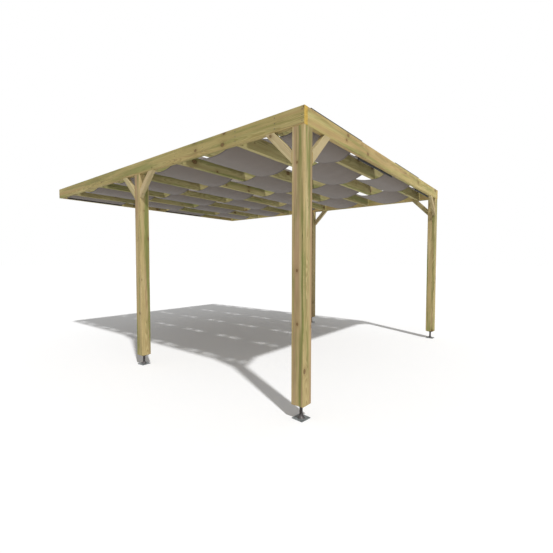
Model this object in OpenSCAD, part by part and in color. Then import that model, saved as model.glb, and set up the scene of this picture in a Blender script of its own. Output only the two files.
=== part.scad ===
// Lean-to pergola: four square posts on steel feet carry a flat frame of
// beams and joists, and four strips of shade cloth are woven over and under
// the joists. The wall beam's back face goes against a building.
//
// Frame: +Z up, +Y towards the wall, +X along the front beam.
// The origin is on the ground under the middle of the roof.

/* [Overall] */
// Width over the two side beams
width = 4000; // [3000:50:6000]
// Depth from the front beam's outer face to the wall
depth = 4950; // [3800:50:6500]
// Height of the beams' top edge above the ground
height = 2500; // [2050:10:3000]

/* [Posts] */
// Side of a square post
post_side = 120; // [100:5:160]
// Distance from the front beam's outer face to the middle of a rear post
rear_post_setback = 2465; // [1800:5:2900]

/* [Feet] */
// Distance from the ground to a post's underside
foot_height = 122; // [90:2:200]
// Side of a foot's base plate
base_plate_side = 110; // [105:1:140]
// Thickness of a foot's base plate
base_plate_t = 8; // [5:1:12]
// Side of the plate under a post
head_plate_side = 90; // [70:5:100]
// Thickness of the plate under a post
head_plate_t = 6; // [4:1:10]
// Diameter of a foot's threaded rod
rod_d = 27; // [20:1:36]
// Width across the flats of a foot's nuts
nut_flats = 41; // [38:1:50]
// Height of a foot's nuts
nut_h = 16; // [8:1:22]
// Diameter of the circle through a base plate's holes
hole_circle_d = 113; // [90:1:116]
// Diameter of a base plate's holes
hole_d = 12; // [8:1:14]
// Turn of the front left foot about its rod, in degrees
front_left_turn = -5.5; // [-45:0.5:45]
// Turn of the rear left foot about its rod, in degrees
rear_left_turn = 5; // [-45:0.5:45]

/* [Beams] */
// Height of every beam
beam_h = 145; // [120:1:200]
// Thickness of every beam
beam_t = 45; // [35:1:60]

/* [Braces] */
// Distance from a post's face to a brace's far end
brace_reach = 285; // [200:5:600]
// Width of a brace across its slope
brace_w = 70; // [50:5:100]
// Thickness of a brace
brace_t = 45; // [35:1:60]

/* [Joists] */
// Distance from one joist to the next, set out from the wall beam
joist_pitch = 463; // [350:1:600]
// Height of a joist, which is level with the beams' underside
joist_h = 145; // [100:1:145]
// Thickness of a joist
joist_t = 45; // [30:1:60]
// Smallest bay between the front beam and the first joist
first_bay_min = 180; // [150:5:230]

/* [Shade cloth] */
// Number of strips side by side
strip_count = 4; // [2:1:8]
// Gap between two neighbouring strips
strip_gap = 10; // [5:5:60]
// Gap between a side beam and the outermost strip
strip_side_gap = 60; // [20:5:100]
// Thickness of the cloth
cloth_t = 3; // [2:0.5:6]
// Gap between the cloth and the timber it passes
cloth_clearance = 0.3; // [0.2:0.1:2]
// Length of flat cloth on each side of the timber it bends around
cloth_lap = 1; // [1:1:12]
// Distance from a beam's outer edge back to the end of the cloth on top of it
cloth_setback = 4; // [2:1:20]
// Height above a beam's underside at which the cloth meets its inner face
cloth_tuck = 20; // [10:5:60]

/* [Hidden] */
left = -1;
right = 1;

// The two lengthwise ends of the roof and the beams' undersides
front_y = -depth / 2;
wall_y = depth / 2;
side_x = width / 2;
beam_bottom = height - beam_h;

// Clear space inside the four beams
inner_front_y = front_y + beam_t;
inner_wall_y = wall_y - beam_t;
inner_x = side_x - beam_t;

rear_post_y = front_y + rear_post_setback - post_side / 2;
brace_inner = brace_reach - brace_w * sqrt(2);

joist_count = floor((inner_wall_y - inner_front_y - first_bay_min) / joist_pitch);
last_support = joist_count + 1;

strip_w = (2 * inner_x - 2 * strip_side_gap - (strip_count - 1) * strip_gap) / strip_count;
strip_pitch = strip_w + strip_gap;
// Steps in the curve of the cloth between two supports
cloth_steps = 10;
// Heights of the cloth's middle over a joist, over a beam, under a joist and
// where it ends on a beam's inner face
cloth_off = cloth_clearance + cloth_t / 2;
cloth_over = beam_bottom + joist_h + cloth_off;
cloth_on_beam = height + cloth_off;
cloth_under = beam_bottom - cloth_off;
cloth_end = beam_bottom + cloth_tuck;

timber = "darkkhaki";
cut_timber = "burlywood";
steel = "dimgray";
cloth = "rosybrown";

JOISTS = [for (i = [1:joist_count]) str("joist_", i)];
STRIPS = [for (i = [1:strip_count]) str("shade_strip_", i)];

// Y of a joist's middle; joist 1 is the nearest to the front
function joist_y(i) = wall_y - beam_t / 2 - (last_support - i) * joist_pitch;

// +1 where a strip passes over support i, -1 where it passes under.
// Support 0 is the front beam and the last support is the wall beam.
function weave(strip, i) = (strip + i) % 2 == 1 ? 1 : -1;

// Height of a strip's middle at joist i
function cloth_z(strip, i) = weave(strip, i) == 1 ? cloth_over : cloth_under;

// The sag of the cloth from (y0, z0) to (y1, z1), level at its lower end
function cloth_curve(y0, z0, y1, z1) =
    [for (k = [0:cloth_steps])
        let (u = k / cloth_steps)
        let (v = z0 < z1 ? u : 1 - u)
        [y0 + u * (y1 - y0), min(z0, z1) + abs(z1 - z0) * v * v]];

// The cloth from joist i to the next one
function cloth_bay(strip, i) =
    cloth_curve(
        joist_y(i) + joist_t / 2 + cloth_lap, cloth_z(strip, i),
        joist_y(i + 1) - joist_t / 2 - cloth_lap, cloth_z(strip, i + 1));

// The front end lies on top of the front beam, or ends at its inner face
function cloth_front(strip) =
    let (y1 = joist_y(1) - joist_t / 2 - cloth_lap)
    let (z1 = cloth_z(strip, 1))
    weave(strip, 0) == 1
    ? concat(
        [[front_y + cloth_setback, cloth_on_beam]],
        cloth_curve(inner_front_y + cloth_lap, cloth_on_beam, y1, z1))
    : cloth_curve(inner_front_y + cloth_clearance, cloth_end, y1, z1);

// The wall end lies on top of the wall beam, or ends at its inner face
function cloth_back(strip) =
    let (y0 = joist_y(joist_count) + joist_t / 2 + cloth_lap)
    let (z0 = cloth_z(strip, joist_count))
    weave(strip, last_support) == 1
    ? concat(
        cloth_curve(y0, z0, inner_wall_y - cloth_lap, cloth_on_beam),
        [[wall_y - cloth_setback, cloth_on_beam]])
    : cloth_curve(y0, z0, inner_wall_y - cloth_clearance, cloth_end);

function raised(points, dz) = [for (p = points) [p[0], p[1] + dz]];
function reversed(points) = [for (i = [len(points) - 1:-1:0]) points[i]];

// A square post; x_side says which side of the roof it stands on
module post(x_side, y0) {
    x0 = x_side == left ? -side_x : side_x - post_side;
    color(timber)
        translate([x0, y0, foot_height])
            cube([post_side, post_side, beam_bottom - foot_height]);
}

module plate(side, t) {
    translate([-side / 2, -side / 2, 0])
        cube([side, side, t]);
}

module nut() {
    cylinder(d = nut_flats / cos(30), h = nut_h, $fn = 6);
}

// An adjustable steel foot: a drilled base plate, a rod with two nuts and a
// plate under the post
module foot(x_side, y0, turn) {
    head_z = foot_height - head_plate_t;
    color(steel)
        translate([x_side * (side_x - post_side / 2), y0 + post_side / 2, 0]) {
            rotate([0, 0, turn])
                difference() {
                    plate(base_plate_side, base_plate_t);
                    for (k = [0:3])
                        rotate([0, 0, 45 + 90 * k])
                            translate([hole_circle_d / 2, 0, -1])
                                cylinder(d = hole_d, h = base_plate_t + 2, $fn = 32);
                }
            translate([0, 0, base_plate_t / 2])
                cylinder(d = rod_d, h = head_z - base_plate_t / 2 + head_plate_t / 2, $fn = 48);
            translate([0, 0, base_plate_t]) nut();
            translate([0, 0, head_z - nut_h]) nut();
            translate([0, 0, head_z]) plate(head_plate_side, head_plate_t);
        }
}

module side_beam(x_side) {
    x0 = x_side == left ? -side_x : inner_x;
    color(timber)
        translate([x0, front_y, beam_bottom])
            cube([beam_t, depth, beam_h]);
}

module cross_beam(y0) {
    color(timber)
        translate([-inner_x, y0, beam_bottom])
            cube([2 * inner_x, beam_t, beam_h]);
}

// The outline of a 45 degree brace, in the corner of a post and a beam
module brace_outline() {
    polygon([[0, -brace_inner], [0, -brace_reach], [brace_reach, 0], [brace_inner, 0]]);
}

// A brace under a side beam, on the front (-1) or the back (+1) of a post
module side_brace(x_side, y0, way) {
    x0 = x_side == left ? -side_x : side_x - brace_t;
    face_y = way == 1 ? y0 + post_side : y0;
    color(cut_timber)
        translate([x0, face_y, beam_bottom])
            mirror([0, way == 1 ? 0 : 1, 0])
                rotate([90, 0, 90])
                    linear_extrude(brace_t) brace_outline();
}

// A brace under the front beam, reaching in from a front post
module front_brace(x_side) {
    color(cut_timber)
        translate([x_side * (side_x - post_side), front_y + brace_t, beam_bottom])
            mirror([x_side == left ? 0 : 1, 0, 0])
                rotate([90, 0, 0])
                    linear_extrude(brace_t) brace_outline();
}

module joist(i) {
    color(cut_timber)
        translate([-inner_x, joist_y(i) - joist_t / 2, beam_bottom])
            cube([2 * inner_x, joist_t, joist_h]);
}

// One strip of cloth, woven over and under the joists from front to wall
module shade_strip(strip) {
    middle = concat(
        cloth_front(strip),
        [for (i = [1:joist_count - 1]) each cloth_bay(strip, i)],
        cloth_back(strip));
    outline = concat(raised(middle, -cloth_t / 2), reversed(raised(middle, cloth_t / 2)));
    color(cloth)
        translate([-inner_x + strip_side_gap + (strip - 1) * strip_pitch, 0, 0])
            rotate([90, 0, 90])
                linear_extrude(strip_w) polygon(outline);
}

post(left, front_y);  // front_left_post
post(right, front_y);  // front_right_post
post(left, rear_post_y);  // rear_left_post
post(right, rear_post_y);  // rear_right_post

foot(left, front_y, front_left_turn);  // front_left_foot
foot(right, front_y, 0);  // front_right_foot
foot(left, rear_post_y, rear_left_turn);  // rear_left_foot
foot(right, rear_post_y, 0);  // rear_right_foot

side_beam(left);  // left_beam
side_beam(right);  // right_beam
cross_beam(front_y);  // front_beam
cross_beam(inner_wall_y);  // wall_beam

side_brace(left, front_y, 1);  // front_left_brace_back
side_brace(right, front_y, 1);  // front_right_brace_back
front_brace(left);  // front_left_brace_in
front_brace(right);  // front_right_brace_in
side_brace(left, rear_post_y, -1);  // rear_left_brace_front
side_brace(right, rear_post_y, -1);  // rear_right_brace_front
side_brace(left, rear_post_y, 1);  // rear_left_brace_back
side_brace(right, rear_post_y, 1);  // rear_right_brace_back

for (i = [1:joist_count])
    joist(i);
for (i = [1:strip_count])
    shade_strip(i);
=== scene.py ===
"""Lean-to pergola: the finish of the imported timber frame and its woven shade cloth.

Each sub-assembly is a class that holds its sizes and builds and dresses its own
pieces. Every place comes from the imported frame; lengths are in metres.
"""

import logging
import math
import random
from collections.abc import Callable, Iterable
from dataclasses import dataclass, field
from enum import Enum

import bmesh
import bpy
from mathutils import Matrix, Vector, noise


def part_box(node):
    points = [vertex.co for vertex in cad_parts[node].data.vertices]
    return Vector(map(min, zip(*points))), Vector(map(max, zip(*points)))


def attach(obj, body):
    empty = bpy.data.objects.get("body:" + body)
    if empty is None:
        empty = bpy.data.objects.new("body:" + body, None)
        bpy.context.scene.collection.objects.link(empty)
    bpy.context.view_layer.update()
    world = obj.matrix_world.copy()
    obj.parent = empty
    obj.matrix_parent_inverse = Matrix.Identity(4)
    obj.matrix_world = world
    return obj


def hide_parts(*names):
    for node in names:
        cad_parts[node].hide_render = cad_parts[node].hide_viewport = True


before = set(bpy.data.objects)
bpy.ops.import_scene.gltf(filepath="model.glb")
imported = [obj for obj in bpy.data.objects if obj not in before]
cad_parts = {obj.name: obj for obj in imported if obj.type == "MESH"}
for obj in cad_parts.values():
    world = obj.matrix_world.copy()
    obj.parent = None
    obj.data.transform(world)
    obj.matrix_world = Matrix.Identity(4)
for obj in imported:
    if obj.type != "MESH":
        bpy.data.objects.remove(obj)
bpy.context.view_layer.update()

log = logging.getLogger("pergola")

Colour = tuple[float, float, float, float]


def tint(red: int, green: int, blue: int) -> Colour:
    """Turn a display colour into the linear colour that shaders take.

    Args:
        red: Red from 0 to 255.
        green: Green from 0 to 255.
        blue: Blue from 0 to 255.

    Returns:
        The linear colour with full alpha.
    """
    linear = [
        c / 12.92 if c <= 0.04045 else ((c + 0.055) / 1.055) ** 2.4
        for c in (red / 255, green / 255, blue / 255)
    ]
    return (linear[0], linear[1], linear[2], 1.0)


class Grain(Enum):
    """The direction in which a straight timber's grain runs."""

    ACROSS = (1.0, 0.0, 0.0)
    DEEP = (0.0, 1.0, 0.0)
    UP = (0.0, 0.0, 1.0)


class Side(Enum):
    """A side of the pergola, as the sign of X."""

    LEFT = -1
    RIGHT = 1


class Hold(Enum):
    """How a strip of cloth passes a beam or joist."""

    OVER = 1
    UNDER = -1


# --------------------------------------------------------------------------
# Node wiring
# --------------------------------------------------------------------------


class Wiring:
    """Places nodes in one tree and joins their sockets."""

    def __init__(self, tree: bpy.types.NodeTree) -> None:
        """Work on the given node tree."""
        self.tree = tree

    def add(self, kind: str, **settings: object) -> bpy.types.Node:
        """Place a node.

        Args:
            kind: The node's type name.
            **settings: Properties to set on the node.

        Returns:
            The new node.
        """
        node = self.tree.nodes.new(kind)
        for name, value in settings.items():
            setattr(node, name, value)
        return node

    def feed(self, socket: bpy.types.NodeSocket, value: object) -> None:
        """Join a socket to another one, or set its own value."""
        if isinstance(value, bpy.types.NodeSocket):
            self.tree.links.new(value, socket)
        else:
            socket.default_value = value

    def maths(self, operation: str, *values: object) -> bpy.types.NodeSocket:
        """Place a Math node and return its result."""
        node = self.add("ShaderNodeMath", operation=operation)
        for socket, value in zip(node.inputs, values):
            self.feed(socket, value)
        return node.outputs[0]

    def vector(self, operation: str, *values: object) -> bpy.types.NodeSocket:
        """Place a Vector Math node and return its vector, or its length."""
        node = self.add("ShaderNodeVectorMath", operation=operation)
        for socket, value in zip(node.inputs, values):
            self.feed(socket, value)
        return node.outputs[1 if operation in ("LENGTH", "DISTANCE") else 0]

    def split(self, vector: bpy.types.NodeSocket) -> tuple:
        """Return the X, Y and Z sockets of a vector."""
        node = self.add("ShaderNodeSeparateXYZ")
        self.feed(node.inputs[0], vector)
        return node.outputs[0], node.outputs[1], node.outputs[2]

    def join(self, x: object, y: object, z: object) -> bpy.types.NodeSocket:
        """Return a vector made of three values."""
        node = self.add("ShaderNodeCombineXYZ")
        for socket, value in zip(node.inputs, (x, y, z)):
            self.feed(socket, value)
        return node.outputs[0]

    def cloud(
        self,
        vector: bpy.types.NodeSocket,
        scale: float,
        detail: float = 2.0,
        roughness: float = 0.5,
    ) -> bpy.types.NodeSocket:
        """Return smooth noise from 0 to 1.

        Args:
            vector: Where the noise is read.
            scale: Features to the metre.
            detail: Number of finer layers.
            roughness: Strength of the finer layers.

        Returns:
            The noise value's socket.
        """
        node = self.add("ShaderNodeTexNoise")
        self.feed(node.inputs["Vector"], vector)
        node.inputs["Scale"].default_value = scale
        node.inputs["Detail"].default_value = detail
        node.inputs["Roughness"].default_value = roughness
        return node.outputs[0]

    def stretched(
        self, vector: bpy.types.NodeSocket, scale: tuple[float, float, float]
    ) -> bpy.types.NodeSocket:
        """Return a vector with each of its parts scaled."""
        return self.vector("MULTIPLY", vector, scale)

    def rise(
        self, value: bpy.types.NodeSocket, low: object, high: object
    ) -> bpy.types.NodeSocket:
        """Return 0 below low and 1 above high, with a smooth step between."""
        node = self.add("ShaderNodeMapRange", interpolation_type="SMOOTHSTEP")
        self.feed(node.inputs["Value"], value)
        self.feed(node.inputs["From Min"], low)
        self.feed(node.inputs["From Max"], high)
        return node.outputs["Result"]

    def scaled(
        self, value: bpy.types.NodeSocket, low: float, high: float
    ) -> bpy.types.NodeSocket:
        """Return a 0 to 1 value spread evenly from low to high."""
        node = self.add("ShaderNodeMapRange")
        self.feed(node.inputs["Value"], value)
        node.inputs["To Min"].default_value = low
        node.inputs["To Max"].default_value = high
        return node.outputs["Result"]

    def blend(
        self, factor: object, first: object, second: object, mode: str = "MIX"
    ) -> bpy.types.NodeSocket:
        """Return two colours mixed.

        Args:
            factor: Share of the second colour.
            first: Colour at factor 0.
            second: Colour at factor 1.
            mode: Way of mixing.

        Returns:
            The mixed colour's socket.
        """
        node = self.add("ShaderNodeMix", data_type="RGBA", blend_type=mode)
        self.feed(node.inputs[0], factor)
        self.feed(node.inputs[6], first)
        self.feed(node.inputs[7], second)
        return node.outputs[2]

    def placed(self, group: bpy.types.NodeTree) -> bpy.types.Node:
        """Place a shader node group."""
        node = self.add("ShaderNodeGroup")
        node.node_tree = group
        return node

    def attribute(self, name: str) -> bpy.types.Node:
        """Place a node that reads an attribute of the piece's mesh."""
        return self.add("ShaderNodeAttribute", attribute_name=name)


def new_group(
    name: str, inputs: dict[str, str], outputs: dict[str, str]
) -> tuple[bpy.types.NodeTree, Wiring, bpy.types.Node, bpy.types.Node]:
    """Make an empty shader node group.

    Args:
        name: The group's name.
        inputs: Socket types by input name.
        outputs: Socket types by output name.

    Returns:
        The group, its wiring, its input node and its output node.
    """
    tree = bpy.data.node_groups.new(name, "ShaderNodeTree")
    for socket, kind in inputs.items():
        tree.interface.new_socket(socket, in_out="INPUT", socket_type=kind)
    for socket, kind in outputs.items():
        tree.interface.new_socket(socket, in_out="OUTPUT", socket_type=kind)
    wiring = Wiring(tree)
    return tree, wiring, wiring.add("NodeGroupInput"), wiring.add("NodeGroupOutput")


VECTOR = "NodeSocketVector"
NUMBER = "NodeSocketFloat"
COLOUR = "NodeSocketColor"


class EffectShelf:
    """The shader node groups that several finishes share, each built once."""

    def __init__(self) -> None:
        """Build every group."""
        self.figure = self._figure()
        self.knots = self._knots()
        self.streaks = self._streaks()
        self.speckle = self._speckle()
        self.knit = self._knit()

    def _knots(self) -> bpy.types.NodeTree:
        """Build the knots that show on a sawn face."""
        tree, w, given, out = new_group(
            "Pine knots",
            {"Face": VECTOR, "Spread": NUMBER},
            {"Knot": NUMBER, "Rim": NUMBER, "Core": NUMBER, "Swirl": NUMBER},
        )
        along, across, face = w.split(given.outputs["Face"])
        rows, columns = 2.3, 9.0
        cell_x = w.maths("MULTIPLY", along, rows)
        cell_y = w.maths("MULTIPLY_ADD", across, columns, w.maths("MULTIPLY", face, 5.3))
        cells = w.add("ShaderNodeTexVoronoi", voronoi_dimensions="2D")
        w.feed(cells.inputs["Vector"], w.join(cell_x, cell_y, 0.0))
        cells.inputs["Scale"].default_value = 1.0
        cells.inputs["Randomness"].default_value = 0.8
        near_x, near_y, _ = w.split(cells.outputs["Position"])
        away_x = w.maths("DIVIDE", w.maths("SUBTRACT", cell_x, near_x), rows * 1.35)
        away_y = w.maths("DIVIDE", w.maths("SUBTRACT", cell_y, near_y), columns)
        ragged = w.cloud(given.outputs["Face"], 90.0)
        away = w.vector("LENGTH", w.join(away_x, away_y, 0.0))
        away = w.maths("MULTIPLY_ADD", w.maths("SUBTRACT", ragged, 0.5), 0.006, away)
        chance = w.add("ShaderNodeSeparateColor")
        w.feed(chance.inputs[0], cells.outputs["Color"])
        size = w.maths("SUBTRACT", chance.outputs[0], 0.50)
        size = w.maths("MULTIPLY", size, 0.036)
        size = w.maths("MULTIPLY", w.maths("MAXIMUM", size, 0.0), given.outputs["Spread"])
        outer = w.maths("MULTIPLY", size, 1.12)
        inner = w.maths("MULTIPLY", size, 0.82)
        present = w.rise(size, 0.0015, 0.004)
        knot = w.maths("SUBTRACT", 1.0, w.rise(away, inner, outer))
        knot = w.maths("MULTIPLY", knot, present)
        core = w.maths("SUBTRACT", 1.0, w.rise(away, 0.0, w.maths("MULTIPLY", size, 0.45)))
        rim = w.maths("SUBTRACT", w.maths("DIVIDE", away, w.maths("ADD", size, 0.0005)), 1.0)
        rim = w.maths("SUBTRACT", 1.0, w.rise(w.maths("ABSOLUTE", rim), 0.08, 0.34))
        swirl = w.maths("DIVIDE", away, w.maths("MULTIPLY_ADD", size, 2.4, 0.001))
        swirl = w.maths("EXPONENT", w.maths("MULTIPLY", w.maths("POWER", swirl, 2.0), -1.0))
        w.feed(out.inputs["Knot"], knot)
        w.feed(out.inputs["Core"], w.maths("MULTIPLY", core, present))
        w.feed(out.inputs["Rim"], w.maths("MULTIPLY", rim, present))
        w.feed(out.inputs["Swirl"], w.maths("MULTIPLY", swirl, present))
        return tree

    def _figure(self) -> bpy.types.NodeTree:
        """Build the growth rings and fibres of sawn pine."""
        tree, w, given, out = new_group(
            "Pine figure",
            {"Place": VECTOR, "Board": NUMBER, "Swirl": NUMBER},
            {"Ring": NUMBER, "Fibre": NUMBER, "Check": NUMBER},
        )
        place, board = given.outputs["Place"], given.outputs["Board"]
        along, y, z = w.split(place)
        wander = w.cloud(w.stretched(place, (0.9, 3.0, 3.0)), 1.0, 3.0)
        wander = w.maths("MULTIPLY", w.maths("SUBTRACT", wander, 0.5), 0.11)
        pith_y = w.scaled(board, -0.05, 0.06)
        pith_z = w.scaled(w.maths("FRACT", w.maths("MULTIPLY", board, 7.13)), -0.13, -0.04)
        off_y = w.maths("ADD", w.maths("SUBTRACT", y, pith_y), wander)
        off_z = w.maths("ADD", w.maths("SUBTRACT", z, pith_z), wander)
        radius = w.vector("LENGTH", w.join(0.0, off_y, off_z))
        radius = w.maths("MULTIPLY_ADD", given.outputs["Swirl"], 0.016, radius)
        ripple = w.cloud(w.stretched(place, (5.0, 60.0, 60.0)), 1.0, 2.0)
        radius = w.maths("MULTIPLY_ADD", ripple, 0.004, radius)
        turn = w.maths("FRACT", w.maths("DIVIDE", radius, 0.0062))
        ring = w.maths("MULTIPLY", w.rise(turn, 0.25, 0.88), w.maths(
            "SUBTRACT", 1.0, w.rise(turn, 0.90, 1.0)))
        fibre = w.cloud(w.stretched(place, (7.0, 420.0, 420.0)), 1.0, 3.0, 0.6)
        line = w.cloud(w.stretched(place, (1.1, 46.0, 46.0)), 1.0, 2.0)
        line = w.maths("ABSOLUTE", w.maths("SUBTRACT", line, 0.5))
        where = w.cloud(w.stretched(place, (1.6, 9.0, 9.0)), 1.0, 1.0)
        check = w.maths("SUBTRACT", 1.0, w.rise(line, 0.002, 0.009))
        check = w.maths("MULTIPLY", check, w.rise(where, 0.56, 0.66))
        w.feed(out.inputs["Ring"], ring)
        w.feed(out.inputs["Fibre"], fibre)
        w.feed(out.inputs["Check"], check)
        return tree

    def _streaks(self) -> bpy.types.NodeTree:
        """Build the long stains left by the pressure treatment."""
        tree, w, given, out = new_group(
            "Treatment streaks",
            {"Place": VECTOR},
            {"Green": NUMBER, "Warm": NUMBER, "Pale": NUMBER, "Patch": NUMBER},
        )
        place = given.outputs["Place"]
        green = w.cloud(w.stretched(place, (0.75, 15.0, 15.0)), 1.0, 4.0, 0.62)
        warm = w.cloud(w.stretched(place, (0.42, 11.0, 19.0)), 1.0, 3.0, 0.5)
        pale = w.cloud(w.stretched(place, (1.3, 24.0, 24.0)), 1.0, 3.0, 0.55)
        patch = w.cloud(w.stretched(place, (3.0, 14.0, 14.0)), 1.0, 4.0, 0.65)
        w.feed(out.inputs["Green"], w.rise(green, 0.47, 0.64))
        w.feed(out.inputs["Warm"], w.rise(warm, 0.50, 0.62))
        w.feed(out.inputs["Pale"], w.rise(pale, 0.50, 0.68))
        w.feed(out.inputs["Patch"], w.rise(patch, 0.42, 0.70))
        return tree

    def _speckle(self) -> bpy.types.NodeTree:
        """Build the flecked zinc and grime of outdoor steel."""
        tree, w, given, out = new_group(
            "Steel speckle",
            {"Place": VECTOR, "Fleck": NUMBER},
            {"Crystal": NUMBER, "Grime": NUMBER, "Grit": NUMBER},
        )
        place = given.outputs["Place"]
        cells = w.add("ShaderNodeTexVoronoi")
        w.feed(cells.inputs["Vector"], w.vector("SCALE", place))
        scale = cells.inputs["Vector"].links[0].from_node
        w.feed(scale.inputs["Scale"], given.outputs["Fleck"])
        cells.inputs["Scale"].default_value = 1.0
        parts = w.add("ShaderNodeSeparateColor")
        w.feed(parts.inputs[0], cells.outputs["Color"])
        w.feed(out.inputs["Crystal"], parts.outputs[0])
        w.feed(out.inputs["Grime"], w.rise(w.cloud(place, 38.0, 4.0, 0.65), 0.42, 0.66))
        w.feed(out.inputs["Grit"], w.cloud(place, 900.0, 2.0))
        return tree

    def _knit(self) -> bpy.types.NodeTree:
        """Build the rows and chains of knitted shade cloth."""
        tree, w, given, out = new_group(
            "Knitted cloth",
            {"Cloth": VECTOR, "Pitch": NUMBER},
            {"Thread": NUMBER, "Chain": NUMBER, "Slub": NUMBER, "Soil": NUMBER},
        )
        u, v, _ = w.split(given.outputs["Cloth"])
        turns = w.maths("DIVIDE", 2 * math.pi, given.outputs["Pitch"])
        wale = w.maths("SINE", w.maths("MULTIPLY", u, turns))
        row_turns = w.maths("MULTIPLY", turns, 1.6)
        step = w.maths("MULTIPLY", wale, 0.9)
        row = w.maths("SINE", w.maths("MULTIPLY_ADD", v, row_turns, step))
        chain = w.maths("MULTIPLY_ADD", wale, 0.5, 0.5)
        thread = w.maths("MULTIPLY_ADD", row, 0.5, 0.5)
        cloth = given.outputs["Cloth"]
        slub = w.cloud(w.stretched(cloth, (260.0, 14.0, 1.0)), 1.0, 2.0)
        weft = w.cloud(w.stretched(cloth, (9.0, 240.0, 1.0)), 1.0, 2.0)
        soil = w.cloud(w.stretched(cloth, (3.2, 1.7, 1.0)), 1.0, 4.0, 0.6)
        w.feed(out.inputs["Thread"], w.maths("MULTIPLY", thread, chain))
        w.feed(out.inputs["Chain"], chain)
        w.feed(out.inputs["Slub"], w.maths("MULTIPLY_ADD", weft, 0.5, w.maths("MULTIPLY", slub, 0.5)))
        w.feed(out.inputs["Soil"], soil)
        return tree


# --------------------------------------------------------------------------
# Finishes
# --------------------------------------------------------------------------


def blank_material(name: str, specular: float) -> tuple[bpy.types.Material, Wiring, bpy.types.Node]:
    """Make a material that holds one Principled shader.

    Args:
        name: The material's name.
        specular: Specular level, the same all over.

    Returns:
        The material, its wiring and its shader node.
    """
    material = bpy.data.materials.new(name)
    material.use_nodes = True
    wiring = Wiring(material.node_tree)
    shader = material.node_tree.nodes["Principled BSDF"]
    shader.inputs["Specular IOR Level"].default_value = specular
    return material, wiring, shader


def bumped(w: Wiring, shader: bpy.types.Node, height: object, depth: float, strength: float) -> None:
    """Give a shader a bump from a height.

    Args:
        w: The material's wiring.
        shader: The Principled shader.
        height: The height's socket, from 0 to 1.
        depth: Height in metres that 1 stands for.
        strength: Share of the bump that shows.
    """
    bump = w.add("ShaderNodeBump")
    bump.inputs["Distance"].default_value = depth
    bump.inputs["Strength"].default_value = strength
    w.feed(bump.inputs["Height"], height)
    w.feed(shader.inputs["Normal"], bump.outputs["Normal"])


@dataclass(frozen=True)
class PineFinish:
    """Pressure-treated pine, weathered outdoors.

    Attributes:
        name: The material's name.
        early: Colour of the soft, pale wood of a ring.
        late: Colour of the hard, dark line of a ring.
        green: Colour of the treatment's green streaks.
        warm: Colour of the brown heartwood streaks.
        pale: Colour of the palest streaks.
        green_share: How strongly the green shows.
        warm_share: How strongly the brown shows.
        knot_size: Knots' size against the usual one.
    """

    name: str
    early: Colour
    late: Colour
    green: Colour
    warm: Colour
    pale: Colour
    green_share: float
    warm_share: float
    knot_size: float

    def make(self, effects: EffectShelf) -> bpy.types.Material:
        """Build the material for sawn faces."""
        material, w, shader = blank_material(self.name, 0.30)
        place = w.attribute("timber_place").outputs["Vector"]
        board = w.attribute("board_tone").outputs["Fac"]
        knots = w.placed(effects.knots)
        w.feed(knots.inputs["Face"], w.attribute("face_place").outputs["Vector"])
        knots.inputs["Spread"].default_value = self.knot_size
        figure = w.placed(effects.figure)
        w.feed(figure.inputs["Place"], place)
        w.feed(figure.inputs["Board"], board)
        w.feed(figure.inputs["Swirl"], knots.outputs["Swirl"])
        streaks = w.placed(effects.streaks)
        w.feed(streaks.inputs["Place"], place)
        ring, fibre = figure.outputs["Ring"], figure.outputs["Fibre"]
        colour = w.blend(w.maths("MULTIPLY", ring, 0.62), self.early, self.late)
        pale = w.maths("MULTIPLY", streaks.outputs["Pale"], 0.45)
        colour = w.blend(pale, colour, self.pale)
        warm = w.maths("MULTIPLY", streaks.outputs["Warm"], self.warm_share)
        colour = w.blend(warm, colour, self.warm)
        green = w.maths("MULTIPLY", streaks.outputs["Green"], self.green_share)
        colour = w.blend(green, colour, self.green)
        colour = w.blend(
            w.maths("MULTIPLY", streaks.outputs["Patch"], 0.22), colour, tint(118, 104, 62)
        )
        halo = w.maths("MULTIPLY", knots.outputs["Swirl"], 0.50)
        colour = w.blend(halo, colour, tint(120, 96, 52))
        colour = w.blend(w.maths("MULTIPLY", knots.outputs["Knot"], 0.75), colour, tint(120, 88, 52))
        colour = w.blend(w.maths("MULTIPLY", knots.outputs["Rim"], 0.55), colour, tint(74, 54, 32))
        colour = w.blend(w.maths("MULTIPLY", knots.outputs["Core"], 0.5), colour, tint(84, 58, 34))
        shade = w.scaled(fibre, 0.80, 1.18)
        shade = w.maths("MULTIPLY", shade, w.scaled(board, 0.90, 1.10))
        edge = w.attribute("edge_wear").outputs["Fac"]
        edge = w.maths("MULTIPLY", edge, w.rise(w.cloud(place, 22.0, 3.0), 0.35, 0.7))
        shade = w.maths("MULTIPLY_ADD", edge, 0.16, shade)
        colour = w.blend(1.0, colour, w.join(shade, shade, shade), "MULTIPLY")
        colour = w.blend(w.maths("MULTIPLY", figure.outputs["Check"], 0.8), colour, tint(58, 44, 28))
        w.feed(shader.inputs["Base Color"], colour)
        rough = w.maths("MULTIPLY_ADD", fibre, 0.16, w.maths("MULTIPLY_ADD", ring, -0.10, 0.72))
        rough = w.maths("MULTIPLY_ADD", knots.outputs["Knot"], -0.16, rough)
        w.feed(shader.inputs["Roughness"], rough)
        height = w.maths("MULTIPLY_ADD", ring, 0.30, w.maths("MULTIPLY", fibre, 0.45))
        height = w.maths("MULTIPLY_ADD", knots.outputs["Knot"], 0.35, height)
        height = w.maths("MULTIPLY_ADD", figure.outputs["Check"], -1.0, height)
        bumped(w, shader, height, 0.0016, 0.55)
        return material


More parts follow.
